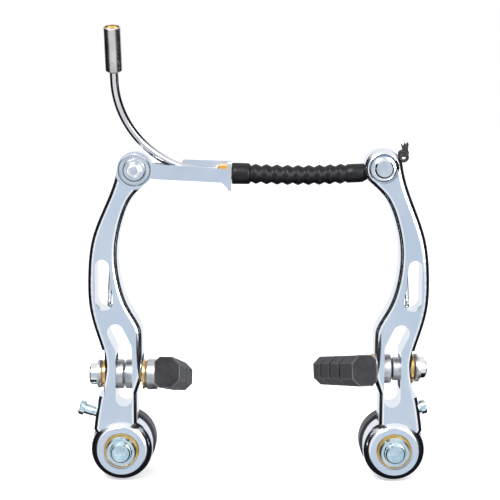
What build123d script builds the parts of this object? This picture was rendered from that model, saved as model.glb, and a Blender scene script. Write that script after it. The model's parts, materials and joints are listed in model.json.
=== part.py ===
"""Linear-pull rim brake caliper pair for a bicycle: two arms on frame posts, cable guide, boot and shoes.

Frame: +X to the caliper's right as its front is looked at, +Y to the rear (towards the bicycle frame),
+Z up. The origin is midway between the two pivot axes, on the plane where the sleeves meet the frame.
Depths are measured from that plane towards the front, so a depth d lies at y = -d. "Out" is the
distance from a pivot axis towards its own side of the bicycle, and is negative towards the wheel.
"""

import math
import os

from build123d import *

LEFT, RIGHT = -1, 1
SIDE_NAMES = {LEFT: "left", RIGHT: "right"}

# Pivots, on standard 8 mm frame posts with M6 bolts.
HALF_SPAN = 51.0
POST_R = 4.0
POST_SEAT_LENGTH = 10.0
POST_RELIEF_R = 4.2
POST_RELIEF_END = 16.5
M6_R = 2.95
M6_CLEAR_R = 3.1
SLEEVE_R = 5.8
SLEEVE_LENGTH = 20.0
RUNNING_GAP = 0.05
BUSH_R = 6.6
WASHER_THICKNESS = 0.9

# Arms.
ARM_BACK = 8.0
ARM_FRONT = 20.0
ARM_MIDDLE = (ARM_BACK + ARM_FRONT) / 2
FRONT_ROUND = 2.5
BACK_ROUND = 1.5
BOSS_R = 11.3
BOSS_BACK = 7.9
BOSS_FRONT = 21.4
COUNTERBORE_R = 6.9
COUNTERBORE_FLOOR = 19.9
HEAD_OUT = -5.6
HEAD_UP = {LEFT: 104.9, RIGHT: 105.7}
HEAD_R = {LEFT: 6.5, RIGHT: 7.1}

# Spring cup, spring and tension screw.
CUP_R = 12.0
CUP_BACK = 0.6
CUP_FRONT = 7.6
CUP_WALL = 1.3
COIL_R = 8.2
WIRE_R = 0.75
COIL_PITCH = 1.57
COIL_TURNS = 2
COIL_START = 2.75
LEG_DEPTH = COIL_START + COIL_PITCH * COIL_TURNS
LEG_BEND_OUT = 7.4
LEG_BEND_UP = 16.0
LEG_LEAN = 0.052
LEG_TOP_UP = 66.0
PEG_UP = 50.6
PEG_R = 1.1
PEG_OUT = LEG_BEND_OUT - LEG_LEAN * (PEG_UP - LEG_BEND_UP) + PEG_R + WIRE_R + 0.1
FRAME_PIN_R = 1.25
FRAME_PIN_UP = 9.6
FRAME_PIN_LENGTH = 3.0
SCREW_R = 1.75
SCREW_HEAD_OUT = {LEFT: 15.2, RIGHT: 11.2}
SCREW_HEAD_UP = {LEFT: 14.8, RIGHT: 15.6}
SCREW_TILT = 18.0

# Brake shoes. Their stud crosses the arm's lower window; all the ball washers share one centre.
SHOE_OUT = -1.1
SHOE_UP = {LEFT: 27.8, RIGHT: 30.2}
SLOT_LOW, SLOT_HIGH = 26.2, 32.2
SLOT_HALF_WIDTH = 4.65
WINDOW_R = 3.07
INNER_FACE_OUT = -7.8
OUTER_SEAT_OUT = 6.0
TOE = {LEFT: 2.0, RIGHT: 11.0}
DIP = {LEFT: 15.0, RIGHT: 13.0}
INNER_BALL_R = 9.3
OUTER_BALL_R = 9.6
COLLAR_START = 12.1
PAD_START = 14.0
PAD_THICKNESS = 9.0
PAD_HEIGHT = 11.0
PAD_BLOCKS = [10.5, 11.0, 11.0, 16.5]
PAD_GROOVE = 3.0
PAD_GROOVE_DEPTH = 1.7
PAD_LENGTH = sum(PAD_BLOCKS) + PAD_GROOVE * (len(PAD_BLOCKS) - 1)
PLATE_LENGTH, PLATE_HEIGHT, PLATE_THICKNESS = 38.0, 6.4, 1.6
PLATE_DEPTH_IN_PAD = 1.2

# Cable line: noodle, holder, boot and retaining cord.
CABLE_DEPTH = 14.2
CABLE_UP = 103.4
NOODLE_LEAN = 19.0
NOODLE_X = -51.6
NOODLE_BEND = 36.0
NOODLE_R = 1.57
NOODLE_BORE_R = 1.0
LINER_BORE_R = 0.95
FERRULE_R = 3.0
FERRULE_BOTTOM = 39.2
FERRULE_TOP = 55.4
TIP_R = 2.2
FLANGE_X = -11.4
FLANGE_THICKNESS = 1.2
BOOT_START = -10.0
BOOT_END = 40.1
BOOT_BORE_R = 1.9
CORD_R = 0.8
ANCHOR_SEAT = 13.9
ANCHOR_R = 5.1
M5_R = 2.5

os.makedirs("parts", exist_ok=True)


def spot(side, out, depth, up):
    """A point given by its side, its distance out from the pivot, its depth and its height."""
    return Vector(side * (HALF_SPAN + out), -depth, up)


def front_point(side, out, up):
    """The same place in a sketch that faces the front."""
    return (side * (HALF_SPAN + out), up)


def front_plane(depth):
    """A sketch plane at this depth, from which extruding goes towards the front."""
    return Plane.XZ.offset(depth)


def save(part, name):
    part.label = name
    export_step(part, f"parts/{name}.step")


def turn(origin, direction, outline, mode=Mode.ADD):
    """Turns an outline of (distance along, radius) points about a line.

    A point with a third value is one that the outline's arc passes on its way to the next point.
    """
    heading = Vector(*direction).normalized()
    upright = Vector(0, 0, 1) if abs(heading.Z) < 0.8 else Vector(0, 1, 0)
    with BuildSketch(Plane(origin=origin, x_dir=heading, z_dir=heading.cross(upright))) as section:
        with BuildLine():
            closed = list(outline) + [outline[0]]
            at = 0
            while at < len(closed) - 1:
                if len(closed[at + 1]) == 3:
                    ThreePointArc(closed[at], closed[at + 1][:2], closed[at + 2])
                    at += 2
                else:
                    Line(closed[at], closed[at + 1])
                    at += 1
        make_face()
    revolve(section.sketch, axis=Axis(origin, heading), mode=mode)


def hex_socket(plane, across_flats, depth):
    """Cuts a hexagonal socket into the piece, down from this plane."""
    with BuildSketch(plane) as key:
        RegularPolygon(across_flats / 2, 6, major_radius=False)
    extrude(key.sketch, amount=-depth, mode=Mode.SUBTRACT)


def ball_edge(radius, near_r, far_r):
    """The points of a ball's arc between two distances from its axis, far one first."""
    middle_r = (near_r + far_r) / 2
    return [
        (math.sqrt(radius**2 - far_r**2), far_r),
        (math.sqrt(radius**2 - middle_r**2), middle_r, "arc"),
        (math.sqrt(radius**2 - near_r**2), near_r),
    ]


def pivot(side):
    return spot(side, 0, 0, 0)


def head_centre(side):
    return spot(side, HEAD_OUT, 0, HEAD_UP[side])


FORWARD = Vector(0, -1, 0)


def arm_outline(side):
    """The arm's front outline: a bowed outer edge, the head, a hollow inner edge and the shoe's seat."""
    radius = HEAD_R[side]

    def on_head(degrees):
        turned = math.radians(degrees)
        return (HEAD_OUT + radius * math.cos(turned), HEAD_UP[side] + radius * math.sin(turned))

    outer = [(10.5, 7.5), (8.4, 20.4), (6.4, 33.0), (8.9, 43.3), (11.6, 54.0), (12.0, 65.0), (10.3, 79.5)]
    inner = [(-5.0, 95.2), (-1.3, 87.5), (1.0, 76.0), (0.2, 64.0), (-3.6, 53.0)]
    seat = [(-7.7, 44.8), (INNER_FACE_OUT, 42.0), (INNER_FACE_OUT, 27.5), (-5.8, 21.5), (-5.8, 9.0)]
    foot = [(-4.5, 1.0), (6.5, 1.0)]
    top_angle = 8
    top, crown, nape = on_head(top_angle), on_head(110), on_head(236)
    rise = math.radians(top_angle)

    def place(points):
        return [front_point(side, *point) for point in points]

    Spline(
        *place(outer + [top]),
        tangents=[(side * -0.12, 1), (-side * math.sin(rise), math.cos(rise))],
        tangent_scalars=[1, 1],
    )
    ThreePointArc(*place([top, crown, nape]))
    Spline(
        *place([nape] + inner + seat[:1]),
        tangents=[(side * 0.72, -0.69), (side * -0.2, -1)],
        tangent_scalars=[1, 1],
    )
    Polyline(*place(seat + foot + outer[:1]))


def window(side, circles):
    """Cuts a window through the arm, the hull of circles given as (out, up, radius)."""
    with BuildSketch(front_plane(ARM_BACK - 1)) as hole:
        for out, up, radius in circles:
            with Locations(front_point(side, out, up)):
                Circle(radius)
        make_hull()
    extrude(hole.sketch, amount=ARM_FRONT - ARM_BACK + 2, mode=Mode.SUBTRACT)


def box_cut(side, outs, depths, ups, corner=0.0):
    """Cuts a box between these outs, depths and heights, with its edges along X rounded."""
    width = outs[1] - outs[0]
    plane = Plane(
        origin=spot(side, outs[0], sum(depths) / 2, sum(ups) / 2), x_dir=(0, 1, 0), z_dir=(side, 0, 0)
    )
    with BuildSketch(plane) as face:
        if corner:
            RectangleRounded(depths[1] - depths[0], ups[1] - ups[0], corner)
        else:
            Rectangle(depths[1] - depths[0], ups[1] - ups[0])
    extrude(face.sketch, amount=width, mode=Mode.SUBTRACT)


def screw_frame(side):
    """The tension screw's head centre and the direction in which its shank points."""
    tilt = math.radians(SCREW_TILT)
    centre = spot(side, SCREW_HEAD_OUT[side], ARM_MIDDLE, SCREW_HEAD_UP[side])
    return centre, Vector(-side * math.cos(tilt), 0, -math.sin(tilt))


def anchor_path(shift=0.0):
    """The retaining cord's line from inside the boot, under and round the anchor bolt, to its knot."""
    near, dip = Vector(37.2, CABLE_UP), Vector(40.0, CABLE_UP)
    below, far = Vector(46.9, CABLE_UP - 1.5), Vector(52.0, CABLE_UP + 5.6)
    near += (near - dip).normalized() * shift
    far += (far - below).normalized() * shift
    corners = [(point.X, point.Y) for point in (near, dip, below, far)]
    return FilletPolyline(*corners, radius=[10.0, 3.4])


def cord_tube(radius, shift=0.0, mode=Mode.ADD):
    """A round tube along the anchor path, added to or cut from the piece."""
    with BuildLine(front_plane(CABLE_DEPTH)) as route:
        anchor_path(shift)
    with BuildSketch(Plane(origin=route.line @ 0, z_dir=route.line % 0)) as section:
        Circle(radius)
    sweep(section.sketch, path=route.line, mode=mode)


def make_arm(side):
    """Forged arm: rounded plate with three windows, a domed boss at the foot and a head."""
    with BuildPart() as arm:
        with BuildSketch(front_plane(ARM_BACK)):
            with BuildLine():
                arm_outline(side)
            make_face()
        extrude(amount=ARM_FRONT - ARM_BACK)
        front_face = arm.faces().sort_by(Axis.Y)[0]
        back_face = arm.faces().sort_by(Axis.Y)[-1]
        fillet(front_face.edges(), FRONT_ROUND)
        fillet(back_face.edges(), BACK_ROUND)
        window(side, [(6.6, 69.4, 2.5), (5.9, 56.3, 3.3)])
        window(side, [(1.85, 44.7, 3.1), (SHOE_OUT, 38.6, WINDOW_R)])
        window(side, [(SHOE_OUT, 38.6, WINDOW_R), (SHOE_OUT, 19.8, WINDOW_R)])
        turn(
            pivot(side),
            FORWARD,
            [
                (BOSS_BACK, 0),
                (BOSS_BACK, BOSS_R),
                (16.0, BOSS_R),
                (19.6, 11.0, "arc"),
                (BOSS_FRONT, 9.0),
                (BOSS_FRONT, 0),
            ],
        )
        turn(
            pivot(side),
            FORWARD,
            [
                (0, 0),
                (0, BUSH_R),
                (COUNTERBORE_FLOOR, BUSH_R),
                (COUNTERBORE_FLOOR, COUNTERBORE_R),
                (BOSS_FRONT + 1, COUNTERBORE_R),
                (BOSS_FRONT + 1, 0),
            ],
            mode=Mode.SUBTRACT,
        )
        stud_band = (SLOT_LOW - M6_R - 0.2, SLOT_HIGH + M6_R + 0.2)
        depths = (ARM_MIDDLE - SLOT_HALF_WIDTH, ARM_MIDDLE + SLOT_HALF_WIDTH)
        box_cut(side, (INNER_FACE_OUT - 1, OUTER_SEAT_OUT + 2), depths, stud_band, corner=2.0)
        washer_band = (SLOT_LOW - 5.8, SLOT_HIGH + 5.8)
        box_cut(side, (OUTER_SEAT_OUT, OUTER_SEAT_OUT + 6), (ARM_BACK - 1, ARM_FRONT + 1), washer_band)
        centre, heading = screw_frame(side)
        turn(centre, heading, [(0, 0), (0, SCREW_R + RUNNING_GAP), (11, SCREW_R + RUNNING_GAP), (11, 0)],
             mode=Mode.SUBTRACT)
        turn(spot(side, PEG_OUT, 0, PEG_UP), FORWARD, [(0, 0), (0, PEG_R), (11, PEG_R), (11, 0)],
             mode=Mode.SUBTRACT)
        if side == LEFT:
            cut_clevis()
        else:
            cut_anchor_seat()
    return arm.part


def cut_clevis():
    """Thins the left head to a lug between the holder's ears, and drills it for the pin."""
    centre = head_centre(LEFT)
    clear = 7.2
    turn(centre, FORWARD, [(17.3, 0), (17.3, clear), (30, clear), (30, 0)], mode=Mode.SUBTRACT)
    turn(centre, FORWARD, [(0, 0), (0, clear), (10.6, clear), (10.6, 0)], mode=Mode.SUBTRACT)
    turn(centre, FORWARD, [(0, 0), (0, 2.5), (30, 2.5), (30, 0)], mode=Mode.SUBTRACT)


def cut_anchor_seat():
    """Counterbores the right head for the anchor washer and drills it for the bolt and the cord."""
    centre = head_centre(RIGHT)
    wall_r = ANCHOR_R + 0.4
    turn(
        centre,
        FORWARD,
        [(0, 0), (0, M5_R + 0.1), (ANCHOR_SEAT, M5_R + 0.1), (ANCHOR_SEAT, wall_r), (30, wall_r), (30, 0)],
        mode=Mode.SUBTRACT,
    )
    cord_tube(CORD_R + 0.3, shift=2.0, mode=Mode.SUBTRACT)
    boot_room = BOOT_END + 0.5
    turn(Vector(0, -CABLE_DEPTH, CABLE_UP), (1, 0, 0),
         [(30, 0), (30, 3.9), (boot_room - 1.2, 3.9), (boot_room, 2.9), (boot_room, 0)],
         mode=Mode.SUBTRACT)


def make_sleeve(side):
    with BuildPart() as sleeve:
        turn(
            pivot(side),
            FORWARD,
            [
                (0, POST_R),
                (0, SLEEVE_R),
                (SLEEVE_LENGTH, SLEEVE_R),
                (SLEEVE_LENGTH, M6_CLEAR_R),
                (POST_RELIEF_END, M6_CLEAR_R),
                (POST_RELIEF_END, POST_RELIEF_R),
                (POST_SEAT_LENGTH, POST_RELIEF_R),
                (POST_SEAT_LENGTH, POST_R),
            ],
        )
    return sleeve.part


def make_bush(side):
    bore = SLEEVE_R + RUNNING_GAP
    with BuildPart() as bush:
        turn(pivot(side), FORWARD, [(8.0, bore), (8.0, BUSH_R), (19.8, BUSH_R), (19.8, bore)])
    return bush.part


def make_pivot_washer(side):
    front = SLEEVE_LENGTH + WASHER_THICKNESS
    rim = 6.5
    with BuildPart() as washer:
        turn(
            pivot(side),
            FORWARD,
            [
                (SLEEVE_LENGTH, M6_CLEAR_R),
                (SLEEVE_LENGTH, rim),
                (front - 0.2, rim),
                (front, rim - 0.2),
                (front, M6_CLEAR_R),
            ],
        )
    return washer.part


def make_pivot_bolt(side):
    """Flanged M6 bolt with a dished head and a hexagonal socket."""
    seat = SLEEVE_LENGTH + WASHER_THICKNESS
    with BuildPart() as bolt:
        turn(
            pivot(side),
            FORWARD,
            [
                (10.8, 0),
                (10.8, M6_R - 0.5),
                (11.3, M6_R),
                (seat, M6_R),
                (seat, 5.7),
                (seat + 1.2, 5.7),
                (seat + 2.2, 5.1),
                (seat + 2.1, 4.2),
                (seat + 2.6, 3.8),
                (seat + 3.5, 3.6),
                (seat + 3.9, 3.2),
                (seat + 3.9, 0),
            ],
        )
        hex_socket(front_plane(seat + 3.9).move(Location(pivot(side))), 5.0, 3.2)
    return bolt.part


def make_spring_cup(side):
    """Spring housing: a plastic cup on the sleeve, notched for the spring's leg, with a frame pin."""
    with BuildPart() as cup:
        turn(
            pivot(side),
            FORWARD,
            [
                (CUP_BACK, SLEEVE_R + RUNNING_GAP),
                (CUP_BACK, CUP_R - 0.6),
                (CUP_BACK + 0.6, CUP_R),
                (CUP_FRONT - 0.3, CUP_R),
                (CUP_FRONT, CUP_R - 0.3),
                (CUP_FRONT, CUP_R - CUP_WALL),
                (CUP_BACK + CUP_WALL, CUP_R - CUP_WALL),
                (CUP_BACK + CUP_WALL, SLEEVE_R + RUNNING_GAP),
            ],
        )
        notch_outs = (-COIL_R - 3.0, COIL_R + 3.0)
        box_cut(side, (4.5, notch_outs[1]), (LEG_DEPTH - 1.6, CUP_FRONT + 1), (3.0, CUP_R + 1))
        turn(
            spot(side, 0, 0, FRAME_PIN_UP),
            FORWARD,
            [
                (-FRAME_PIN_LENGTH, 0),
                (-FRAME_PIN_LENGTH, FRAME_PIN_R),
                (CUP_BACK + CUP_WALL, FRAME_PIN_R),
                (CUP_BACK + CUP_WALL, 0),
            ],
        )
    return cup.part


def make_spring(side):
    """Torsion spring: a coil round the sleeve and a long leg up the back of the arm to its peg."""
    start = spot(side, COIL_R, LEG_DEPTH, 0)
    bend = spot(side, LEG_BEND_OUT, LEG_DEPTH, LEG_BEND_UP)
    tip_out = LEG_BEND_OUT - LEG_LEAN * (LEG_TOP_UP - LEG_BEND_UP)
    tip = spot(side, tip_out, LEG_DEPTH, LEG_TOP_UP)
    with BuildPart() as spring:
        with BuildLine() as coil:
            Helix(
                COIL_PITCH,
                COIL_PITCH * COIL_TURNS,
                COIL_R,
                center=spot(side, 0, COIL_START, 0),
                direction=(0, -1, 0),
            )
        with BuildSketch(Plane(origin=coil.line @ 0, z_dir=coil.line % 0)) as wire:
            Circle(WIRE_R)
        sweep(wire.sketch, path=coil.line, is_frenet=True)
        with BuildLine() as leg:
            FilletPolyline(start, bend, tip, radius=60)
        with BuildSketch(Plane(origin=leg.line @ 0, z_dir=leg.line % 0)) as leg_wire:
            Circle(WIRE_R)
        sweep(leg_wire.sketch, path=leg.line)
    return spring.part


def make_peg(side):
    with BuildPart() as peg:
        turn(
            spot(side, PEG_OUT, 0, PEG_UP),
            FORWARD,
            [(4.4, 0), (4.4, PEG_R - 0.2), (4.6, PEG_R), (11, PEG_R), (11, 0)],
        )
    return peg.part


def make_tension_screw(side):
    """Small screw through the arm's outer wall, with a slotted cheese head."""
    centre, heading = screw_frame(side)
    head_r, half_head = 2.7, 1.05
    with BuildPart() as screw:
        turn(
            centre,
            heading,
            [
                (-half_head, 0),
                (-half_head, head_r - 0.4),
                (0.3 - half_head, head_r),
                (half_head, head_r),
                (half_head, SCREW_R),
                (9.6, SCREW_R),
                (10.4, SCREW_R - 0.8),
                (10.4, 0),
            ],
        )
        with BuildSketch(Plane(origin=centre - heading * half_head, x_dir=(0, 1, 0), z_dir=heading)) as slot:
            Rectangle(8.0, 0.9)
        extrude(slot.sketch, amount=0.9, mode=Mode.SUBTRACT)
    return screw.part


def shoe_centre(side):
    return spot(side, SHOE_OUT, ARM_MIDDLE, SHOE_UP[side])


def arm_inward(side):
    """Straight towards the wheel, square to the arm."""
    return Vector(-side, 0, 0)


def stud_inward(side):
    """Along the stud towards the wheel, turned by the shoe's toe angle."""
    toe = math.radians(TOE[side])
    return Vector(-side * math.cos(toe), -math.sin(toe), 0)


def pad_lengthwise(side):
    """Along the pad to its rear end, which toes in and dips."""
    toe, dip = math.radians(TOE[side]), math.radians(DIP[side])
    level = Vector(-side * math.sin(toe), math.cos(toe), 0)
    return level * math.cos(dip) - Vector(0, 0, 1) * math.sin(dip)


def dome_outline(ball_r, seat, hole_r, rim_r):
    return [(seat, hole_r), (seat, rim_r)] + ball_edge(ball_r, hole_r, rim_r)


def cup_outline(ball_r, back, hole_r, lip_r, rim_r):
    lip, middle, throat = ball_edge(ball_r, hole_r, lip_r)
    return [throat, (back, hole_r), (back, rim_r), (lip[0] + 0.8, rim_r), lip, middle]


def make_domes(side):
    """Convex washers, one on each face of the arm, both centred on the shoe's ball centre."""
    with BuildPart() as domes:
        turn(
            shoe_centre(side),
            arm_inward(side),
            dome_outline(INNER_BALL_R, SHOE_OUT - INNER_FACE_OUT + RUNNING_GAP, 4.7, 5.6),
        )
        turn(
            shoe_centre(side),
            -arm_inward(side),
            dome_outline(OUTER_BALL_R, OUTER_SEAT_OUT - SHOE_OUT + RUNNING_GAP, 4.7, 5.4),
        )
    return domes.part


def make_cups(side):
    """Concave washers on the stud, against the domes."""
    with BuildPart() as cups:
        turn(
            shoe_centre(side),
            stud_inward(side),
            cup_outline(INNER_BALL_R + RUNNING_GAP, COLLAR_START, M6_R + RUNNING_GAP, 5.0, 5.7),
        )
        turn(
            shoe_centre(side),
            -stud_inward(side),
            cup_outline(OUTER_BALL_R + RUNNING_GAP, 10.0, M6_R + RUNNING_GAP, 4.8, 5.3),
        )
    return cups.part


def make_slot_washers(side):
    """Washers on the inside faces of the lower window, which stiffen it round the stud."""
    hole_r, near, far = 3.75, 0.3, WINDOW_R - RUNNING_GAP
    outer_r = {LEFT: 5.5, RIGHT: 4.4}[side]
    with BuildPart() as washers:
        for heading, rim_r in ((arm_inward(side), 5.5), (-arm_inward(side), outer_r)):
            turn(
                shoe_centre(side),
                heading,
                [(near, hole_r), (near, rim_r - 0.3), (near + 0.3, rim_r), (far, rim_r), (far, hole_r)],
            )
    return washers.part


def make_stud(side):
    """Steel backing plate with its collar and M6 stud, moulded into the pad."""
    inward = stud_inward(side)
    centre = shoe_centre(side)
    plate_near = PAD_START + PLATE_DEPTH_IN_PAD
    with BuildPart() as stud:
        turn(
            centre,
            inward,
            [
                (-10.9, 0),
                (-10.9, M6_R - 0.5),
                (-10.4, M6_R),
                (COLLAR_START, M6_R),
                (COLLAR_START, 4.4),
                (PAD_START, 4.4),
                (PAD_START, M6_R),
                (plate_near + 0.5, M6_R),
                (plate_near + 0.5, 0),
            ],
        )
        with BuildSketch(Plane(origin=centre + inward * plate_near, x_dir=pad_lengthwise(side), z_dir=inward)
                         ) as plate:
            RectangleRounded(PLATE_LENGTH, PLATE_HEIGHT, 2.0)
        extrude(plate.sketch, amount=PLATE_THICKNESS)
    return stud.part


def pad_outline(grow):
    """The pad's eight-sided section: thickness along x from its back, height along y."""
    half, rim, back = PAD_HEIGHT / 2 + grow, PAD_THICKNESS + grow, 0.0
    bevel, back_bevel = 2.7, 1.8
    Polyline(
        (back, half - back_bevel),
        (back_bevel, half),
        (rim - bevel, half),
        (rim, half - bevel),
        (rim, bevel - half),
        (rim - bevel, -half),
        (back_bevel, -half),
        (back, back_bevel - half),
        close=True,
    )


def make_pad(side):
    """Rubber block, grooved across into blocks on its braking, upper and lower faces."""
    inward, lengthwise = stud_inward(side), pad_lengthwise(side)
    origin = shoe_centre(side) + inward * PAD_START
    rear_end = PAD_LENGTH / 2
    with BuildPart() as pad:
        with BuildSketch(Plane(origin=origin - lengthwise * rear_end, x_dir=inward, z_dir=lengthwise)) as bar:
            with BuildLine():
                pad_outline(0.0)
            make_face()
        extrude(bar.sketch, amount=PAD_LENGTH)
        for length in PAD_BLOCKS[:-1]:
            rear_end -= length + PAD_GROOVE
            with BuildSketch(Plane(origin=origin + lengthwise * rear_end, x_dir=inward, z_dir=lengthwise)
                             ) as groove:
                with Locations((PAD_THICKNESS / 2 + 1.5, 0)):
                    Rectangle(PAD_THICKNESS, PAD_HEIGHT + 2)
                with BuildLine():
                    pad_outline(-PAD_GROOVE_DEPTH)
                make_face(mode=Mode.SUBTRACT)
            extrude(groove.sketch, amount=PAD_GROOVE, mode=Mode.SUBTRACT)
        plate_near = PAD_START + PLATE_DEPTH_IN_PAD
        with BuildSketch(Plane(origin=shoe_centre(side) + inward * plate_near, x_dir=lengthwise, z_dir=inward)
                         ) as pocket:
            RectangleRounded(PLATE_LENGTH, PLATE_HEIGHT, 2.0)
        extrude(pocket.sketch, amount=PLATE_THICKNESS, mode=Mode.SUBTRACT)
        turn(shoe_centre(side), inward,
             [(PAD_START - 1, 0), (PAD_START - 1, M6_R), (plate_near, M6_R), (plate_near, 0)],
             mode=Mode.SUBTRACT)
    return pad.part


def make_shoe_nut(side):
    """Barrel nut with a hexagonal socket in its outer end."""
    outward = -stud_inward(side)
    seat, end, socket_floor, rim_r = 10.0, 13.0, 11.0, 4.0
    with BuildPart() as nut:
        turn(
            shoe_centre(side),
            outward,
            [(seat, M6_R), (seat, rim_r), (end - 0.5, rim_r), (end, rim_r - 0.5), (end, 0),
             (socket_floor, 0), (socket_floor, M6_R)],
        )
        hex_socket(Plane(origin=shoe_centre(side) + outward * end, x_dir=(0, 0, 1), z_dir=outward), 5.0,
                   end - socket_floor)
    return nut.part


def sheet(depth, thickness, corners):
    """Adds a flat piece of sheet metal, from a depth forward, with these (x, z) corners."""
    with BuildSketch(front_plane(depth)) as blank:
        with BuildLine():
            Polyline(*corners, close=True)
        make_face()
    extrude(blank.sketch, amount=thickness)


def make_holder():
    """Bent-sheet stirrup: two ears on the pin, a front and a rear plate, and a keyholed end flange."""
    pin = head_centre(LEFT)
    ear_r, hole_r, gauge = 6.0, 2.5 + RUNNING_GAP, 1.2
    front_ear, front_plate, rear_plate = 17.5, 18.5, 9.2
    top = front_plate + 1.3
    end = FLANGE_X + FLANGE_THICKNESS
    with BuildPart() as holder:
        for depth in (front_ear, rear_plate):
            turn(pin, FORWARD, [(depth, 0), (depth, ear_r), (depth + gauge, ear_r), (depth + gauge, 0)])
        sheet(front_ear, gauge, [(pin.X, 106.8), (-38.4, 106.8), (-38.4, 101.7), (pin.X, 101.7)])
        sheet(
            front_plate,
            top - front_plate,
            [
                (-39.4, 106.5),
                (-38.8, 107.1),
                (end, 105.2),
                (end, 98.0),
                (-11.0, 97.7),
                (-13.6, 100.4),
                (-38.8, 101.6),
                (-39.4, 102.2),
            ],
        )
        sheet(
            rear_plate,
            gauge,
            [
                (pin.X, 106.8),
                (-28.8, 106.8),
                (-28.0, 108.2),
                (end, 107.7),
                (end, 98.0),
                (-11.0, 97.7),
                (-13.6, 100.4),
                (pin.X, 101.7),
            ],
        )
        flange = Plane(origin=(FLANGE_X, -(rear_plate + top) / 2, 102.8), x_dir=(0, 1, 0), z_dir=(1, 0, 0))
        with BuildSketch(flange) as end_plate:
            RectangleRounded(top - rear_plate, 10.6, 1.0)
        extrude(end_plate.sketch, amount=FLANGE_THICKNESS)
        for depth in (front_ear, rear_plate):
            turn(pin, FORWARD, [(depth - 1, 0), (depth - 1, hole_r), (depth + 2, hole_r), (depth + 2, 0)],
                 mode=Mode.SUBTRACT)
        cable = Vector(FLANGE_X - 1, -CABLE_DEPTH, CABLE_UP)
        turn(cable, (1, 0, 0), [(0, 0), (0, TIP_R + RUNNING_GAP), (4, TIP_R + RUNNING_GAP), (4, 0)],
             mode=Mode.SUBTRACT)
        with BuildSketch(Plane(origin=(FLANGE_X - 1, -CABLE_DEPTH, CABLE_UP - 5), x_dir=(0, 1, 0),
                               z_dir=(1, 0, 0))) as keyhole:
            Rectangle(1.9, 10)
        extrude(keyhole.sketch, amount=4, mode=Mode.SUBTRACT)
    return holder.part


def make_holder_pin():
    """Stepped rivet through both ears and the lug, with a broad cap in front."""
    with BuildPart() as rivet:
        turn(
            head_centre(LEFT),
            FORWARD,
            [
                (7.7, 0),
                (7.7, 2.2),
                (8.0, 2.5),
                (18.9, 2.5),
                (18.9, 5.9),
                (20.1, 5.9),
                (20.4, 5.6),
                (20.4, 5.5),
                (20.1, 5.2),
                (20.1, 4.5),
                (20.5, 4.1),
                (21.2, 4.0),
                (21.4, 3.7),
                (21.4, 3.0),
                (21.1, 2.6),
                (21.8, 2.3),
                (22.1, 1.6),
                (22.1, 0),
            ],
        )
    return rivet.part


def make_holder_clip():
    """Open retaining ring on the rivet's rear end."""
    centre = head_centre(LEFT)
    with BuildPart() as clip:
        turn(centre, FORWARD, [(8.2, 2.5), (8.2, 4.4), (9.0, 4.4), (9.0, 2.5)])
        with BuildSketch(front_plane(8.0)) as opening:
            with Locations((centre.X, centre.Z - 4)):
                Rectangle(2.4, 5)
        extrude(opening.sketch, amount=2, mode=Mode.SUBTRACT)
    return clip.part


def noodle_point(x, height):
    """A place in the noodle's plane, which leans forward about the cable line."""
    lean = math.radians(NOODLE_LEAN)
    return Vector(x, -(CABLE_DEPTH + height * math.sin(lean)), CABLE_UP + height * math.cos(lean))


def noodle_up():
    return noodle_point(0, 1) - noodle_point(0, 0)


def make_noodle_tube():
    """Cable guide tube, bent through a right angle."""
    with BuildPart() as tube:
        with BuildLine() as route:
            FilletPolyline(
                noodle_point(NOODLE_X, FERRULE_BOTTOM + 1.5),
                noodle_point(NOODLE_X, 0),
                noodle_point(-13.4, 0),
                radius=NOODLE_BEND,
            )
        with BuildSketch(Plane(origin=route.line @ 0, z_dir=route.line % 0)) as wall:
            Circle(NOODLE_R)
            Circle(NOODLE_BORE_R, mode=Mode.SUBTRACT)
        sweep(wall.sketch, path=route.line)
    return tube.part


def make_ferrule():
    """Open socket for the cable housing, crimped on the tube's upper end."""
    height = FERRULE_TOP - FERRULE_BOTTOM
    with BuildPart() as ferrule:
        turn(
            noodle_point(NOODLE_X, FERRULE_BOTTOM),
            noodle_up(),
            [
                (0, NOODLE_R),
                (0, FERRULE_R - 0.5),
                (0.5, FERRULE_R),
                (height - 0.2, FERRULE_R),
                (height, FERRULE_R - 0.2),
                (height, 2.55),
                (8.0, 2.55),
                (8.0, 2.0),
                (1.5, 2.0),
                (1.5, NOODLE_R),
            ],
        )
    return ferrule.part


def make_liner():
    """Low-friction liner that stands up in the ferrule and guides the inner cable."""
    with BuildPart() as liner:
        turn(
            noodle_point(NOODLE_X, FERRULE_BOTTOM + 1.5),
            noodle_up(),
            [(0, LINER_BORE_R), (0, 2.0), (14.3, 2.0), (14.3, LINER_BORE_R)],
        )
    return liner.part


def make_tip():
    """Bullet-shaped end of the noodle: a collar behind the flange, a neck in it and a nose beyond."""
    with BuildPart() as tip:
        turn(
            Vector(0, -CABLE_DEPTH, CABLE_UP),
            (1, 0, 0),
            [
                (-15.4, NOODLE_R),
                (-15.4, 2.3),
                (-14.8, 2.9),
                (FLANGE_X - 0.1, 2.9),
                (FLANGE_X - 0.1, TIP_R),
                (-5.2, TIP_R),
                (-3.6, 1.5),
                (-3.6, LINER_BORE_R),
                (-13.4, LINER_BORE_R),
                (-13.4, NOODLE_R),
            ],
        )
    return tip.part


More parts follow.
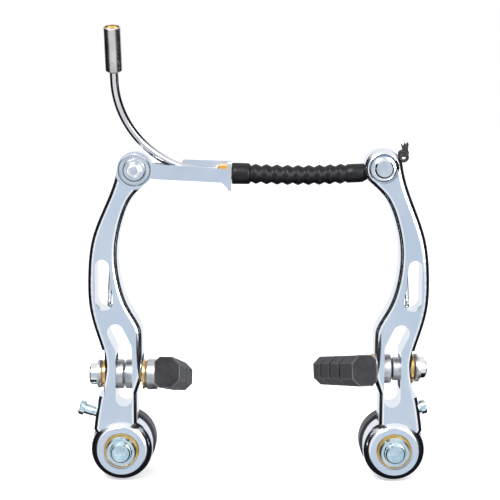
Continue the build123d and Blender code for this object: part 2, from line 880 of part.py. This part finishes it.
def make_boot():
    """Rubber bellows between the noodle's tip and the anchor, with a cuff at each end."""
    left_cuff, first_peak, right_cuff = -2.9, 0.48, 31.8
    peaks, pitch, peak_r, valley_r = 9, 3.63, 3.8, 2.85
    outline = [(BOOT_START, TIP_R + RUNNING_GAP), (BOOT_START, 3.9), (BOOT_START + 0.4, 4.1)]
    outline += [(left_cuff - 0.6, 4.1), (left_cuff, 3.6)]
    for peak in range(peaks):
        middle = first_peak + pitch * peak
        outline += [(middle - pitch / 2, valley_r), (middle - 0.7, peak_r), (middle + 0.7, peak_r)]
    outline += [(first_peak + pitch * (peaks - 0.5), valley_r), (right_cuff, 3.3), (right_cuff + 0.4, 3.5)]
    outline += [(BOOT_END - 2.0, 3.5), (BOOT_END, 2.4), (BOOT_END, BOOT_BORE_R)]
    outline += [(-3.4, BOOT_BORE_R), (-3.4, TIP_R + RUNNING_GAP)]
    with BuildPart() as boot:
        turn(Vector(0, -CABLE_DEPTH, CABLE_UP), (1, 0, 0), outline)
    return boot.part


def make_retaining_cord():
    """The stretch of cord inside the boot, straight from the noodle's tip."""
    with BuildPart() as cord:
        turn(Vector(0, -CABLE_DEPTH, CABLE_UP), (1, 0, 0),
             [(-9.0, 0), (-9.0, CORD_R), (36.8, CORD_R), (36.8, 0)])
    return cord.part


def make_cord_end():
    """The cord from the boot, round the anchor bolt in the washer's groove, to its knot and tail."""
    knot_r = 1.6
    knot = Vector(52.9, -CABLE_DEPTH, CABLE_UP + 6.9)
    with BuildPart() as end:
        cord_tube(CORD_R)
        turn(knot - Vector(0, 0, knot_r), (0, 0, 1), [(0, 0), (knot_r, knot_r, "arc"), (2 * knot_r, 0)])
        turn(knot, (0.1, 0, 1), [(0, 0), (0, 0.9), (4.4, 1.3), (4.7, 0.9), (4.7, 0)])
    return end.part


def make_anchor_washer():
    """Thick washer with a groove that presses the cable on the head."""
    front = 17.0
    with BuildPart() as washer:
        turn(
            head_centre(RIGHT),
            FORWARD,
            [
                (ANCHOR_SEAT, M5_R + 0.1),
                (ANCHOR_SEAT, ANCHOR_R),
                (front - 0.3, ANCHOR_R),
                (front, ANCHOR_R - 0.3),
                (front, M5_R + 0.1),
            ],
        )
        cord_tube(CORD_R, shift=2.0, mode=Mode.SUBTRACT)
    return washer.part


def make_anchor_bolt():
    """M5 cable anchor bolt with a flange, a domed head and a hexagonal socket."""
    seat = 17.0
    with BuildPart() as bolt:
        turn(
            head_centre(RIGHT),
            FORWARD,
            [
                (7.2, 0),
                (7.2, M5_R - 0.4),
                (7.6, M5_R),
                (seat, M5_R),
                (seat, 4.9),
                (seat + 1.0, 4.9),
                (seat + 1.6, 4.4),
                (seat + 1.8, 3.7),
                (seat + 3.8, 3.5),
                (seat + 4.6, 2.9),
                (seat + 4.6, 0),
            ],
        )
        hex_socket(front_plane(seat + 4.6).move(Location(head_centre(RIGHT))), 4.0, 3.0)
    return bolt.part


SIDE_PIECES = {
    "arm": make_arm,
    "pivot_bush": make_bush,
    "pivot_sleeve": make_sleeve,
    "pivot_washer": make_pivot_washer,
    "pivot_bolt": make_pivot_bolt,
    "spring_cup": make_spring_cup,
    "return_spring": make_spring,
    "spring_peg": make_peg,
    "tension_screw": make_tension_screw,
    "shoe_domes": make_domes,
    "shoe_cups": make_cups,
    "slot_washers": make_slot_washers,
    "shoe_stud": make_stud,
    "shoe_pad": make_pad,
    "shoe_nut": make_shoe_nut,
}

SHARED_PIECES = {
    "noodle_holder": make_holder,
    "holder_pin": make_holder_pin,
    "holder_clip": make_holder_clip,
    "noodle_tube": make_noodle_tube,
    "noodle_ferrule": make_ferrule,
    "noodle_liner": make_liner,
    "noodle_tip": make_tip,
    "boot": make_boot,
    "retaining_cord": make_retaining_cord,
    "cord_end": make_cord_end,
    "anchor_washer": make_anchor_washer,
    "anchor_bolt": make_anchor_bolt,
}

for side in (LEFT, RIGHT):
    for piece, make in SIDE_PIECES.items():
        save(make(side), f"{SIDE_NAMES[side]}_{piece}")

for piece, make in SHARED_PIECES.items():
    save(make(), piece)
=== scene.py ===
"""Looks of the linear-pull rim brake: materials, soft pieces, studio and camera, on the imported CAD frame."""

import json
import math

import bmesh
import bpy
from mathutils import Matrix, Vector


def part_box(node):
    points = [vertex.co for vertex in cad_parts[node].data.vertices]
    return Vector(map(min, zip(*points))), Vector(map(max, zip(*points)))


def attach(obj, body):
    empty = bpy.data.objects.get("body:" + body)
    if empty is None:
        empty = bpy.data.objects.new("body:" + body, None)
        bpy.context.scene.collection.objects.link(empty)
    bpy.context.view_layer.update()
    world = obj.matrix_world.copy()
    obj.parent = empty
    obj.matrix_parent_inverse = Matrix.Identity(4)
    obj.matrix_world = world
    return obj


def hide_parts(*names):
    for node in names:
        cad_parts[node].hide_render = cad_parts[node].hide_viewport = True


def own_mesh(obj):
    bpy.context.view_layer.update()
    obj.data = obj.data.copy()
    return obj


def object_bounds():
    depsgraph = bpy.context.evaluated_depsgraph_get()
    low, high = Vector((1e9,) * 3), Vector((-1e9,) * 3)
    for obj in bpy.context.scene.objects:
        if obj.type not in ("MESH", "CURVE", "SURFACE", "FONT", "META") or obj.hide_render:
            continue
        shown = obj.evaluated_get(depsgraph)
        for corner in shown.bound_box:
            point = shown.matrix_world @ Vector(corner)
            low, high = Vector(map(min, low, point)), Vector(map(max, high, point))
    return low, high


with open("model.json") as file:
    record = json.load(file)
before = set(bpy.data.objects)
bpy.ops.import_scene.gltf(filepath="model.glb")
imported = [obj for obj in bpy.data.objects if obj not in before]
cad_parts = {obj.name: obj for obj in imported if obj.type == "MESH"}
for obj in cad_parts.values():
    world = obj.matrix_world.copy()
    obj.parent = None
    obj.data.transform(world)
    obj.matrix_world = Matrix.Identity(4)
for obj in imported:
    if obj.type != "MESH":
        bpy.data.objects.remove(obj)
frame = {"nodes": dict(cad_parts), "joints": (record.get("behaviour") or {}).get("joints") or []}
CAD_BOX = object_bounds()
NODES = frame["nodes"]
JOINTS = {joint["name"]: joint for joint in frame["joints"]}
MM = 0.001

# Camera, at the photographed angle. Distances in metres, angles in degrees.
CAMERA_DISTANCE = 0.479
CAMERA_ELEVATION = 8.0
CAMERA_ROLL = 0.222
CAMERA_TARGET = Vector((-0.003226, -0.014, 0.074957))
LENS_MM = 93.03
SENSOR_MM = 36.0

# Boot: how it hangs between its ends, its cuffs and its ribs; the cord's radius.
BOOT_SAG = 0.55 * MM
BOOT_TIP_RISE = 0.5 * MM
BOOT_CUFF_LEFT, BOOT_CUFF_RIGHT = 6.9 * MM, 8.3 * MM
BOOT_RIBS = 9
CORD_R = 0.62 * MM

# Studio: where each light stands, its size in metres and its power in watts, and what both aim at.
LIGHT_AIM = Vector((0, 0, 0.06))
LIGHTS = {
    "key": ((-0.35, -0.7, 0.75), (0.5, 0.5), 9.0),
    "fill": ((0.5, -0.6, 0.3), (0.4, 0.6), 4.0),
}
PALE_BLUE, SKY, PALE = (0.62, 0.70, 0.80), (0.66, 0.73, 0.82), (0.9, 0.92, 0.96)
WHITE, BLACK = (1.0, 1.0, 1.0), (0.01, 0.01, 0.012)
# What a reflection sees, from straight in front of the brake (0) to straight behind it (1).
FRONT_TO_BACK = [
    (0.0, PALE_BLUE),
    (0.06, SKY),
    (0.10, WHITE),
    (0.22, WHITE),
    (0.27, BLACK),
    (0.84, BLACK),
    (0.90, PALE),
    (1.0, PALE),
]
CEILING_START, CEILING_FULL = 0.45, 0.75
FLOOR_HALF = 3.0
FLOOR_GAP = 0.2 * MM
FLOOR_GLOW = 0.4


def fill_ramp(node, stops):
    elements = node.color_ramp.elements
    while len(elements) < len(stops):
        elements.new(0.5)
    for element, (place, colour) in zip(elements, stops):
        element.position = place
        element.color = (*colour, 1.0)


class Shader:
    """A material built node by node."""

    def __init__(self, name):
        self.material = bpy.data.materials.new(name)
        self.material.use_nodes = True
        self.tree = self.material.node_tree
        self.surface = self.tree.nodes["Principled BSDF"]
        self.coords = self.tree.nodes.new("ShaderNodeTexCoord").outputs["Object"]

    def node(self, kind, **values):
        made = self.tree.nodes.new(kind)
        for key, value in values.items():
            setattr(made, key, value)
        return made

    def link(self, source, target):
        self.tree.links.new(source, target)

    def set(self, **values):
        for key, value in values.items():
            self.surface.inputs[key.replace("_", " ")].default_value = value

    def stretched(self, scale):
        mapping = self.node("ShaderNodeMapping")
        mapping.inputs["Scale"].default_value = scale
        self.link(self.coords, mapping.inputs["Vector"])
        return mapping.outputs["Vector"]

    def noise(self, scale, detail=4.0, stretch=None, rough=0.55):
        texture = self.node("ShaderNodeTexNoise")
        texture.inputs["Scale"].default_value = scale
        texture.inputs["Detail"].default_value = detail
        texture.inputs["Roughness"].default_value = rough
        self.link(self.stretched(stretch) if stretch else self.coords, texture.inputs["Vector"])
        return texture.outputs["Fac"]

    def ramp(self, source, stops):
        ramp = self.node("ShaderNodeValToRGB")
        fill_ramp(ramp, stops)
        self.link(source, ramp.inputs["Fac"])
        return ramp.outputs["Color"]

    def span(self, source, low, high, from_low=0.0, from_high=1.0):
        span = self.node("ShaderNodeMapRange")
        span.inputs["From Min"].default_value = from_low
        span.inputs["From Max"].default_value = from_high
        span.inputs["To Min"].default_value = low
        span.inputs["To Max"].default_value = high
        self.link(source, span.inputs["Value"])
        return span.outputs["Result"]

    def math(self, operation, first, second):
        made = self.node("ShaderNodeMath", operation=operation)
        for socket, value in zip(made.inputs, (first, second)):
            if isinstance(value, (int, float)):
                socket.default_value = value
            else:
                self.link(value, socket)
        return made.outputs["Value"]

    def mix(self, factor, first, second):
        made = self.node("ShaderNodeMix", data_type="RGBA")
        self.link(factor, made.inputs["Factor"])
        for socket, value in zip((made.inputs[6], made.inputs[7]), (first, second)):
            if isinstance(value, tuple):
                socket.default_value = (*value, 1.0)
            else:
                self.link(value, socket)
        return made.outputs[2]

    def edges(self, radius, sharpest=0.9):
        """1 on the edges that a bevel of this radius would soften, 0 on the faces between them."""
        bevel = self.node("ShaderNodeBevel", samples=4)
        bevel.inputs["Radius"].default_value = radius
        flat = self.node("ShaderNodeNewGeometry").outputs["Normal"]
        dot = self.node("ShaderNodeVectorMath", operation="DOT_PRODUCT")
        self.link(bevel.outputs["Normal"], dot.inputs[0])
        self.link(flat, dot.inputs[1])
        return self.span(dot.outputs["Value"], 1.0, 0.0, sharpest, 0.995)

    def bump(self, height, strength, distance, under=None):
        bump = self.node("ShaderNodeBump")
        bump.inputs["Strength"].default_value = strength
        bump.inputs["Distance"].default_value = distance
        self.link(height, bump.inputs["Height"])
        if under is not None:
            self.link(under, bump.inputs["Normal"])
        return bump.outputs["Normal"]

    def colour(self, source):
        self.link(source, self.surface.inputs["Base Color"])

    def roughness(self, source):
        self.link(source, self.surface.inputs["Roughness"])

    def normal(self, source):
        self.link(source, self.surface.inputs["Normal"])


def polished_alloy():
    """Polished, lacquered forging: faint lengthwise buffing lines and clouds in the shine."""
    s = Shader("polished_alloy")
    s.set(Metallic=1.0, Coat_Weight=0.4, Coat_Roughness=0.05)
    clouds = s.noise(38.0, 3.0)
    buffing = s.noise(420.0, 5.0, stretch=(5.0, 5.0, 0.35))
    shades = [(0.3, (0.74, 0.80, 0.88)), (0.55, (0.84, 0.88, 0.93)), (0.75, (0.90, 0.92, 0.95))]
    s.colour(s.ramp(clouds, shades))
    s.roughness(s.math("ADD", s.span(clouds, 0.07, 0.14), s.span(buffing, 0.0, 0.05)))
    fine = s.bump(buffing, 0.05, 0.00012)
    s.normal(s.bump(s.noise(70.0, 2.0), 0.10, 0.0006, under=fine))
    return s.material


def plated_steel(name, shades, rough, mottle_scale=260.0, pits=0.12):
    """Plated steel, mottled from one shade to the next, with a painted highlight along its edges and fine pits.
    """
    s = Shader(name)
    s.set(Metallic=1.0, Coat_Weight=0.2, Coat_Roughness=0.1)
    mottle = s.noise(mottle_scale, 5.0)
    tints = s.ramp(mottle, list(zip((0.3, 0.55, 0.75), shades)))
    # Painted highlight: the edges are mixed towards near-white.
    s.colour(s.mix(s.edges(0.00018), tints, (0.95, 0.96, 0.97)))
    s.roughness(s.span(mottle, *rough))
    s.normal(s.bump(s.noise(900.0, 3.0), pits, 0.00008))
    return s.material


def drawn_wire():
    """Bright spring wire with fine lines drawn along it."""
    s = Shader("drawn_wire")
    s.set(Metallic=1.0)
    lines = s.noise(500.0, 4.0, stretch=(3.0, 3.0, 0.2))
    s.colour(s.ramp(lines, [(0.3, (0.50, 0.51, 0.54)), (0.6, (0.72, 0.73, 0.76)), (0.8, (0.84, 0.85, 0.86))]))
    s.roughness(s.span(lines, 0.16, 0.32))
    s.normal(s.bump(lines, 0.12, 0.00005))
    return s.material


def black_nylon():
    """Moulded nylon: a fine spark-eroded grain and edges gone a little grey."""
    s = Shader("black_nylon")
    s.set(Metallic=0.0)
    grain = s.noise(1400.0, 3.0)
    base = s.ramp(s.noise(120.0, 3.0), [(0.3, (0.008, 0.008, 0.010)), (0.7, (0.024, 0.024, 0.028))])
    s.colour(s.mix(s.edges(0.0003), base, (0.07, 0.07, 0.08)))
    s.roughness(s.span(grain, 0.32, 0.5))
    s.normal(s.bump(grain, 0.25, 0.00006))
    return s.material


def rubber(name, dark, light, worn, rough, wear_radius, grain_scale=1500.0):
    """Moulded rubber: dusty patches, a fine grain, and edges rubbed to a paler grey."""
    s = Shader(name)
    s.set(Metallic=0.0, Specular_IOR_Level=0.3)
    grain = s.noise(grain_scale, 4.0)
    dust = s.noise(170.0, 6.0, rough=0.65)
    base = s.ramp(dust, [(0.35, dark), (0.7, light)])
    wear = s.math("MULTIPLY", s.edges(wear_radius, 0.8), s.span(dust, 0.35, 1.0, 0.3, 0.6))
    s.colour(s.mix(wear, base, worn))
    s.roughness(s.span(dust, *rough))
    s.normal(s.bump(grain, 0.35, 0.0001))
    return s.material


def twisted_cord():
    """Black cord: fine strands laid round it."""
    s = Shader("twisted_cord")
    s.set(Metallic=0.0)
    strands = s.noise(2600.0, 2.0, stretch=(1.0, 1.0, 0.35))
    shades = [(0.35, (0.006, 0.005, 0.006)), (0.65, (0.022, 0.020, 0.022)), (0.8, (0.07, 0.06, 0.07))]
    s.colour(s.ramp(strands, shades))
    s.roughness(s.span(strands, 0.5, 0.8))
    s.normal(s.bump(strands, 0.5, 0.00015))
    return s.material


def amber_liner():
    """Smooth translucent plastic, a little cloudy."""
    s = Shader("amber_liner")
    s.set(IOR=1.5)
    clouds = s.noise(300.0, 3.0)
    s.colour(s.ramp(clouds, [(0.3, (0.50, 0.28, 0.06)), (0.7, (0.80, 0.52, 0.18))]))
    s.roughness(s.span(clouds, 0.22, 0.38))
    return s.material


def assign(material, *names):
    for name in names:
        data = NODES[name].data
        if not data.materials:
            data.materials.append(material)
        for index in range(len(data.materials)):
            data.materials[index] = material


def both(*pieces):
    return [f"{side}_{piece}" for side in ("left", "right") for piece in pieces]


def soften(names, width, angle=35.0):
    """Rounds the sharp edges of CAD pieces by a small real bevel."""
    for name in names:
        modifier = NODES[name].modifiers.new("rounded_edges", "BEVEL")
        modifier.width = width
        modifier.segments = 2
        modifier.limit_method = "ANGLE"
        modifier.angle_limit = math.radians(angle)


# Plated and turned steels: three shades, the roughness range, then the mottle's scale and the pits' depth.
PLATINGS = {
    "zinc_plate": ([(0.46, 0.66, 0.74), (0.72, 0.84, 0.88), (0.88, 0.90, 0.86)], (0.12, 0.30)),
    "bright_plate": ([(0.66, 0.70, 0.74), (0.80, 0.83, 0.86), (0.90, 0.90, 0.90)], (0.10, 0.24)),
    "nickel_sheet": ([(0.72, 0.76, 0.83), (0.80, 0.83, 0.89), (0.86, 0.88, 0.92)], (0.16, 0.28), 90.0),
    "bright_tube": ([(0.56, 0.57, 0.60), (0.72, 0.73, 0.76), (0.82, 0.83, 0.86)], (0.08, 0.18), 60.0),
    "satin_ferrule": ([(0.50, 0.49, 0.48), (0.64, 0.63, 0.62), (0.76, 0.75, 0.74)], (0.2, 0.34)),
    "gold_brass": ([(0.74, 0.36, 0.05), (0.90, 0.56, 0.14), (0.96, 0.72, 0.30)], (0.14, 0.32)),
    "grey_steel": ([(0.36, 0.36, 0.38), (0.56, 0.56, 0.58), (0.70, 0.69, 0.68)], (0.28, 0.5), 420.0, 0.3),
    "turned_steel": ([(0.44, 0.45, 0.47), (0.60, 0.61, 0.63), (0.70, 0.71, 0.72)], (0.2, 0.34)),
}
PLATED_NODES = {
    "zinc_plate": both("pivot_bolt", "spring_peg", "tension_screw"),
    "bright_plate": [*both("shoe_stud", "shoe_nut"), "holder_pin", "holder_clip", "anchor_bolt",
                     "anchor_washer"],
    "nickel_sheet": ["noodle_holder"],
    "bright_tube": ["noodle_tube"],
    "satin_ferrule": ["noodle_ferrule"],
    "gold_brass": [*both("pivot_bush", "pivot_washer", "shoe_domes"), "noodle_tip"],
    "grey_steel": both("shoe_cups", "slot_washers"),
    "turned_steel": both("pivot_sleeve"),
}


def finish_nodes():
    assign(polished_alloy(), *both("arm"))
    for name, values in PLATINGS.items():
        assign(plated_steel(name, *values), *PLATED_NODES[name])
    assign(drawn_wire(), *both("return_spring"))
    assign(amber_liner(), "noodle_liner")
    assign(black_nylon(), *both("spring_cup"))
    dark, light, worn = (0.004, 0.004, 0.006), (0.020, 0.020, 0.025), (0.15, 0.15, 0.16)
    assign(rubber("pad_rubber", dark, light, worn, (0.42, 0.68), 0.0008, 900.0), *both("shoe_pad"))
    soften(both("shoe_pad"), 0.35 * MM)
    soften(both("shoe_cups", "slot_washers", "shoe_nut", "tension_screw"), 0.12 * MM)


def lathe(name, outline, centre_of, axis, segments=64):
    """A solid of revolution: closed (distance along, radius) outline, about a line that may wander."""
    heading = Vector(axis).normalized()
    across = heading.cross(Vector((0, 1, 0))).normalized()
    up = heading.cross(across)
    mesh = bmesh.new()
    rings = []
    for along, radius in outline:
        ring = []
        for index in range(segments):
            angle = 2 * math.pi * index / segments
            offset = across * math.cos(angle) + up * math.sin(angle)
            ring.append(mesh.verts.new(centre_of(along) + heading * along + offset * radius))
        rings.append(ring)
    for near, far in zip(rings, rings[1:] + rings[:1]):
        for index in range(segments):
            after = (index + 1) % segments
            mesh.faces.new((near[index], near[after], far[after], far[index]))
    bmesh.ops.recalc_face_normals(mesh, faces=mesh.faces)
    for face in mesh.faces:
        face.smooth = True
    data = bpy.data.meshes.new(name)
    mesh.to_mesh(data)
    mesh.free()
    made = bpy.data.objects.new(name, data)
    bpy.context.scene.collection.objects.link(made)
    return made


def middle(node):
    low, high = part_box(node)
    return (low + high) / 2


def make_boot():
    """The bellows: nine sharp ribs between two cuffs, sagging a little and lifted at its right end."""
    low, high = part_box("boot")
    length = high.x - low.x
    start = Vector((low.x, middle("boot").y, middle("boot").z))
    cuff, tip_cuff, rib, valley = 3.95 * MM, 3.45 * MM, 3.75 * MM, 2.85 * MM
    ribs_end = length - BOOT_CUFF_RIGHT
    pitch = (ribs_end - BOOT_CUFF_LEFT) / BOOT_RIBS
    outline = [(0.0, 2.3 * MM), (0.0, cuff - 0.4 * MM), (0.12 * MM, cuff - 0.12 * MM), (0.5 * MM, cuff)]
    outline += [(BOOT_CUFF_LEFT * share, cuff - 0.06 * MM * share) for share in (0.3, 0.55, 0.8)]
    outline += [(BOOT_CUFF_LEFT - 0.5 * MM, cuff - 0.15 * MM), (BOOT_CUFF_LEFT - 0.1 * MM, valley + 0.5 * MM)]
    for index in range(BOOT_RIBS):
        for place in (0.04, 0.16, 0.28, 0.38, 0.46, 0.54, 0.62, 0.72, 0.84, 0.96):
            height = (1 - abs(2 * place - 1)) ** 0.9
            outline.append((BOOT_CUFF_LEFT + pitch * (index + place), valley + (rib - valley) * height))
    outline += [(ribs_end + 0.15 * MM, tip_cuff - 0.35 * MM), (ribs_end + 0.6 * MM, tip_cuff)]
    outline += [(ribs_end + 3.0 * MM, tip_cuff + 0.03 * MM), (length - 2.2 * MM, tip_cuff)]
    outline += [(length - 1.9 * MM, tip_cuff - 0.12 * MM), (length - 0.3 * MM, 2.5 * MM), (length, 2.3 * MM)]
    outline += [(length, 1.9 * MM), (length * 0.5, 1.9 * MM), (6.6 * MM, 1.9 * MM), (6.6 * MM, 2.3 * MM)]

    def centre(along):
        share = along / length
        sag = BOOT_SAG * math.sin(math.pi * share) ** 2
        rise = BOOT_TIP_RISE * max(0.0, (share - 0.5) / 0.5) ** 2
        return start + Vector((0, 0, rise - sag))

    boot = lathe("boot_bellows", outline, centre, (1, 0, 0), segments=72)
    dark, light, worn = (0.002, 0.002, 0.003), (0.006, 0.006, 0.008), (0.020, 0.020, 0.024)
    boot.data.materials.append(rubber("boot_rubber", dark, light, worn, (0.30, 0.46), 0.0004))
    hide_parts("boot")
    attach(boot, "noodle")
    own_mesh(boot)


def make_inner_cord(cord_finish):
    """The cord inside the boot, carried with the noodle."""
    low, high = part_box("retaining_cord")
    centre = middle("retaining_cord")
    start = Vector((low.x, centre.y, centre.z))
    length, radius = high.x - low.x, (high.z - low.z) / 2
    core = 0.05 * MM
    outline = [(0.0, core), (0.0, radius * 0.9), (0.1 * MM, radius), (length - 0.1 * MM, radius),
               (length, radius * 0.9), (length, core)]
    cord = lathe("cord_in_boot", outline, lambda along: start, (1, 0, 0), segments=24)
    cord.data.materials.append(cord_finish)
    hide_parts("retaining_cord")
    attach(cord, "noodle")
    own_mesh(cord)


def curve_piece(name, strands, material):
    """Round strands, each a list of points with a radius share, as one mesh with closed ends."""
    data = bpy.data.curves.new(name, "CURVE")
    data.dimensions = "3D"
    data.bevel_depth = CORD_R
    data.bevel_resolution = 5
    data.use_fill_caps = True
    data.resolution_u = 10
    for strand in strands:
        spline = data.splines.new("NURBS")
        spline.points.add(len(strand) - 1)
        for point, (x, y, z, share) in zip(spline.points, strand):
            point.co = (x, y, z, 1.0)
            point.radius = share
        spline.order_u = 3
        spline.use_endpoint_u = True
    shape = bpy.data.objects.new(name + "_curve", data)
    bpy.context.scene.collection.objects.link(shape)
    bpy.context.view_layer.update()
    mesh = bpy.data.meshes.new_from_object(shape.evaluated_get(bpy.context.evaluated_depsgraph_get()))
    bpy.data.objects.remove(shape)
    mesh.name = name
    for polygon in mesh.polygons:
        polygon.use_smooth = True
    mesh.materials.append(material)
    made = bpy.data.objects.new(name, mesh)
    bpy.context.scene.collection.objects.link(made)
    return made


def make_knot(cord_finish):
    """The cord round the anchor bolt, its small loop and knot beside the head, and a frayed tail."""
    bolt = middle("anchor_bolt")
    depth = middle("boot").y
    line = middle("boot").z

    def beside_bolt(out, up, forward=0.0, share=1.0):
        return (bolt.x + out * MM, depth - forward * MM, bolt.z + up * MM, share)

    held = [(bolt.x - 8.2 * MM, depth, line, 1.25), beside_bolt(-5.4, -2.3, share=1.25),
            beside_bolt(-1.5, -3.3, share=1.25), beside_bolt(1.7, -3.5, share=1.25),
            beside_bolt(3.9, -1.4, share=1.2), beside_bolt(5.6, 0.9, share=1.1),
            beside_bolt(6.6, 2.9), beside_bolt(6.1, 4.6, 0.4),
            beside_bolt(5.9, 5.9, 0.8), beside_bolt(7.4, 6.3, 1.0), beside_bolt(8.8, 4.9, 0.9),
            beside_bolt(8.9, 3.1, 0.6), beside_bolt(7.3, 2.3, 0.5), beside_bolt(6.0, 3.4, 0.9),
            beside_bolt(6.6, 5.0, 1.3), beside_bolt(8.0, 5.9, 0.2), beside_bolt(8.1, 7.0, 0.0),
            beside_bolt(8.6, 8.2, 0.0, 0.9), beside_bolt(9.0, 9.3, 0.1, 0.5)]
    wrap = [beside_bolt(6.3, 5.4, -0.7, 0.9), beside_bolt(7.0, 4.4, 1.2, 0.9), beside_bolt(8.3, 4.7, 1.5, 0.9),
            beside_bolt(9.2, 5.6, 0.2, 0.9), beside_bolt(8.4, 6.3, -0.9, 0.9), beside_bolt(7.3, 5.9, -0.9, 0.9)]
    frays = [
        [beside_bolt(7.5, 5.4, 0.3, 0.8), beside_bolt(7.4, 6.7, 0.7, 0.8), beside_bolt(7.0, 7.9, 0.8, 0.6),
         beside_bolt(6.5, 8.9, 0.9, 0.25)],
        [beside_bolt(7.9, 5.6, -0.4, 0.9), beside_bolt(7.7, 7.0, -0.3, 0.95), beside_bolt(7.9, 8.3, -0.2, 0.7),
         beside_bolt(7.9, 9.2, -0.4, 0.3)],
        [beside_bolt(8.4, 5.7, 0.5, 0.7), beside_bolt(8.8, 7.0, 0.6, 0.7), beside_bolt(8.9, 8.2, 0.5, 0.5),
         beside_bolt(9.3, 8.7, 0.4, 0.2)],
    ]
    knot = curve_piece("cord_knot", [held, wrap] + frays, cord_finish)
    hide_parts("cord_end")
    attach(knot, "right_arm")


def make_screw_threads():
    """The rolled thread on the stretch of each tension screw that shows outside the arm."""
    core, root, crest, pitch, turns = 1.5 * MM, 1.78 * MM, 2.05 * MM, 0.5 * MM, 7
    crest_start, crest_end = 0.19 * MM, 0.31 * MM
    finish = bpy.data.materials["zinc_plate"]
    for side in ("left", "right"):
        joint = JOINTS[f"{side}_screw_turn"]
        start = Vector(joint["pos_m"])
        axis = Vector(joint["axis"]).normalized()
        begin = 1.0 * MM
        outline = [(begin, core)]
        for index in range(turns):
            at = begin + pitch * index
            outline += [(at, root), (at + crest_start, crest), (at + crest_end, crest)]
        outline += [(begin + pitch * turns, root), (begin + pitch * turns, core)]
        thread = lathe(f"{side}_screw_thread", outline, lambda along: start, axis, segments=32)
        thread.data.materials.append(finish)
        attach(thread, f"{side}_tension_screw")


def place_camera():
    tilt = math.radians(CAMERA_ELEVATION)
    away = Vector((0.0, -math.cos(tilt), math.sin(tilt)))
    data = bpy.data.cameras.new("camera")
    data.sensor_width = SENSOR_MM
    data.lens = LENS_MM
    camera = bpy.data.objects.new("camera", data)
    bpy.context.scene.collection.objects.link(camera)
    turn = Matrix.Rotation(math.pi / 2 - tilt, 4, "X") @ Matrix.Rotation(math.radians(CAMERA_ROLL), 4, "Z")
    camera.matrix_world = Matrix.Translation(CAMERA_TARGET + away * CAMERA_DISTANCE) @ turn
    bpy.context.scene.camera = camera


def area_light(name, place, size, power):
    data = bpy.data.lights.new(name, "AREA")
    data.shape = "RECTANGLE"
    data.size, data.size_y = size
    data.energy = power
    light = bpy.data.objects.new(name, data)
    bpy.context.scene.collection.objects.link(light)
    light.location = place
    light.rotation_euler = (LIGHT_AIM - Vector(place)).to_track_quat("-Z", "Y").to_euler()


def lay_floor():
    """A pale, faintly glowing floor just under the bosses, which the polished metal doesn't mirror."""
    half, height = FLOOR_HALF, CAD_BOX[0][2] - FLOOR_GAP
    data = bpy.data.meshes.new("floor")
    corners = [(-half, -half, height), (half, -half, height), (half, half, height), (-half, half, height)]
    data.from_pydata(corners, [], [(0, 1, 2, 3)])
    floor = bpy.data.objects.new("floor", data)
    bpy.context.scene.collection.objects.link(floor)
    s = Shader("pale_floor")
    s.set(Specular_IOR_Level=0.1, Emission_Color=(1.0, 1.0, 1.0, 1.0), Emission_Strength=FLOOR_GLOW)
    s.colour(s.ramp(s.noise(3.0, 2.0), [(0.3, (0.93, 0.93, 0.93)), (0.7, (0.95, 0.95, 0.95))]))
    s.roughness(s.span(s.noise(8.0, 2.0), 0.8, 0.95))
    data.materials.append(s.material)
    floor.visible_glossy = False


def light_studio():
    """A studio that darkens from front to back, so edges that face sideways pick up a black line."""
    world = bpy.data.worlds.new("studio")
    bpy.context.scene.world = world
    world.use_nodes = True
    tree = world.node_tree
    tree.nodes.clear()

    def add(kind):
        return tree.nodes.new(kind)

    def link(source, target):
        tree.links.new(source, target)

    def direction_span(axis, low, high):
        """0 to 1 as this part of the looking direction goes from low to high."""
        span = add("ShaderNodeMapRange")
        span.inputs["From Min"].default_value = low
        span.inputs["From Max"].default_value = high
        link(split.outputs[axis], span.inputs["Value"])
        return span.outputs["Result"]

    split = add("ShaderNodeSeparateXYZ")
    link(add("ShaderNodeTexCoord").outputs["Generated"], split.inputs["Vector"])
    walls = add("ShaderNodeValToRGB")
    fill_ramp(walls, FRONT_TO_BACK)
    link(direction_span("Y", -1.0, 1.0), walls.inputs["Fac"])
    ceiling = add("ShaderNodeMix")
    ceiling.data_type = "RGBA"
    link(direction_span("Z", CEILING_START, CEILING_FULL), ceiling.inputs[0])
    link(walls.outputs["Color"], ceiling.inputs[6])
    ceiling.inputs[7].default_value = (*WHITE, 1.0)
    shine = add("ShaderNodeBackground")
    link(ceiling.outputs[2], shine.inputs["Color"])
    backdrop = add("ShaderNodeBackground")
    backdrop.inputs["Color"].default_value = (*WHITE, 1.0)
    seen = add("ShaderNodeMixShader")
    link(add("ShaderNodeLightPath").outputs["Is Camera Ray"], seen.inputs["Fac"])
    link(shine.outputs["Background"], seen.inputs[1])
    link(backdrop.outputs["Background"], seen.inputs[2])
    link(seen.outputs["Shader"], add("ShaderNodeOutputWorld").inputs["Surface"])
    for name, (place, size, power) in LIGHTS.items():
        area_light(name, place, size, power)
    bpy.context.scene.view_settings.view_transform = "Standard"


finish_nodes()
cord_finish = twisted_cord()
make_boot()
make_inner_cord(cord_finish)
make_knot(cord_finish)
make_screw_threads()
lay_floor()
light_studio()
place_camera()
